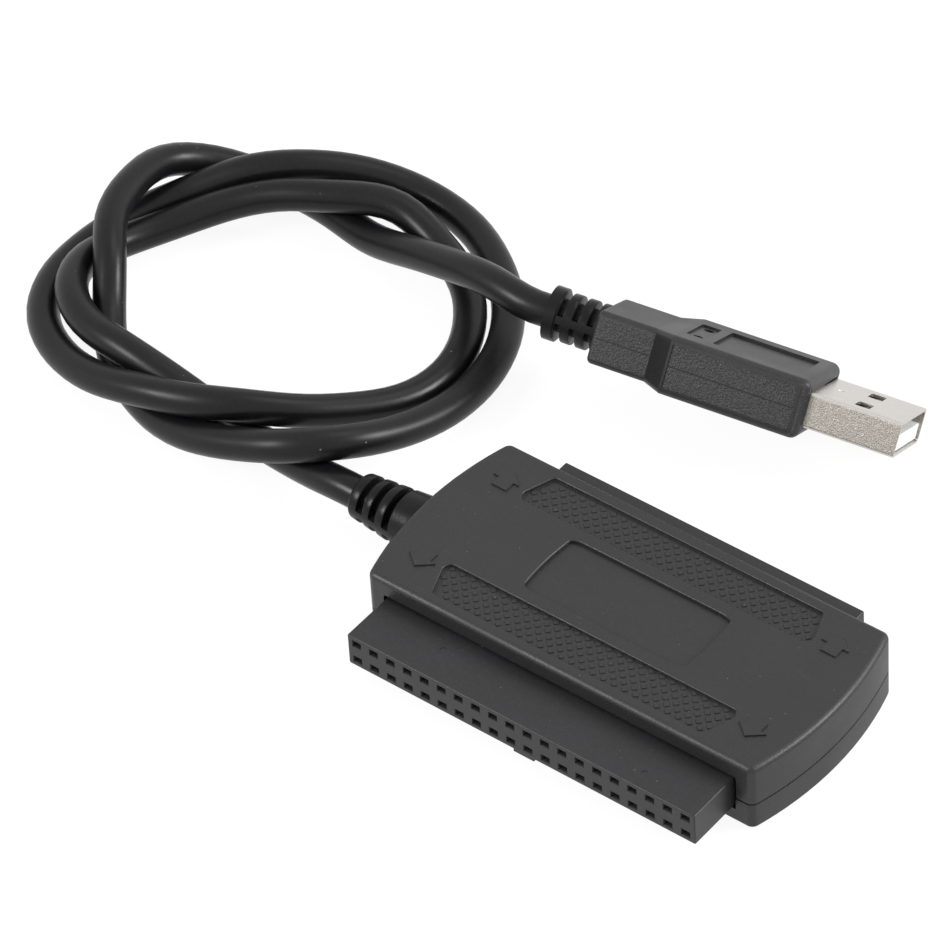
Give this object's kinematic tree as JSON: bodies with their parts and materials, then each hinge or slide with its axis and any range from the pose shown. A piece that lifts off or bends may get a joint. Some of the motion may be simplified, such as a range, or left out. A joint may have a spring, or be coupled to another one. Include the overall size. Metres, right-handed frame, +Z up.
{
  "type": "usb to sata adapter",
  "caption": "Flat drive adapter with a pin socket along each long side and a captive round lead that ends in a USB plug.",
  "frame": {"origin": "middle of the flat underside of the housing", "axes": "+X along the housing away from the lead, +Y from the 40-way socket towards the 44-way socket, +Z up out of the marked top face"},
  "size_m": [0.1318, 0.0732, 0.0155],
  "materials": {
    "housing": "fine satin moulded plastic, very dark grey",
    "socket": "smooth moulded plastic, very dark grey",
    "boot": "soft black moulding, satin",
    "cord": "black lead jacket, satin",
    "plug": "black moulding, grainy on its sides",
    "shell": "plated steel, finely brushed",
    "tongue": "white insulator",
    "contact": "gold-plated strips",
    "board": "green laminate",
    "chip": "black moulded package",
    "crystal": "metal can",
    "capacitor": "tan ceramic",
    "red_wire": "red insulation",
    "white_wire": "white insulation",
    "green_wire": "green insulation",
    "black_wire": "black insulation"
  },
  "bodies": {
    "root": {"upper_shell": "housing", "lower_shell": "housing", "socket_40way": "socket", "socket_44way": "socket", "circuit_board": "board", "bridge_chip": "chip", "memory_chip": "chip", "regulator": "chip", "crystal": "crystal", "capacitor_1": "capacitor", "capacitor_2": "capacitor", "capacitor_3": "capacitor", "capacitor_4": "capacitor", "strain_relief": "boot", "usb_cord": "cord", "plug_overmould": "plug", "plug_shell": "shell", "plug_tongue": "tongue", "plug_contact_1": "contact", "plug_contact_2": "contact", "plug_contact_3": "contact", "plug_contact_4": "contact", "wire_red": "red_wire", "wire_white": "white_wire", "wire_green": "green_wire", "wire_black": "black_wire"}
  },
  "joints": []
}
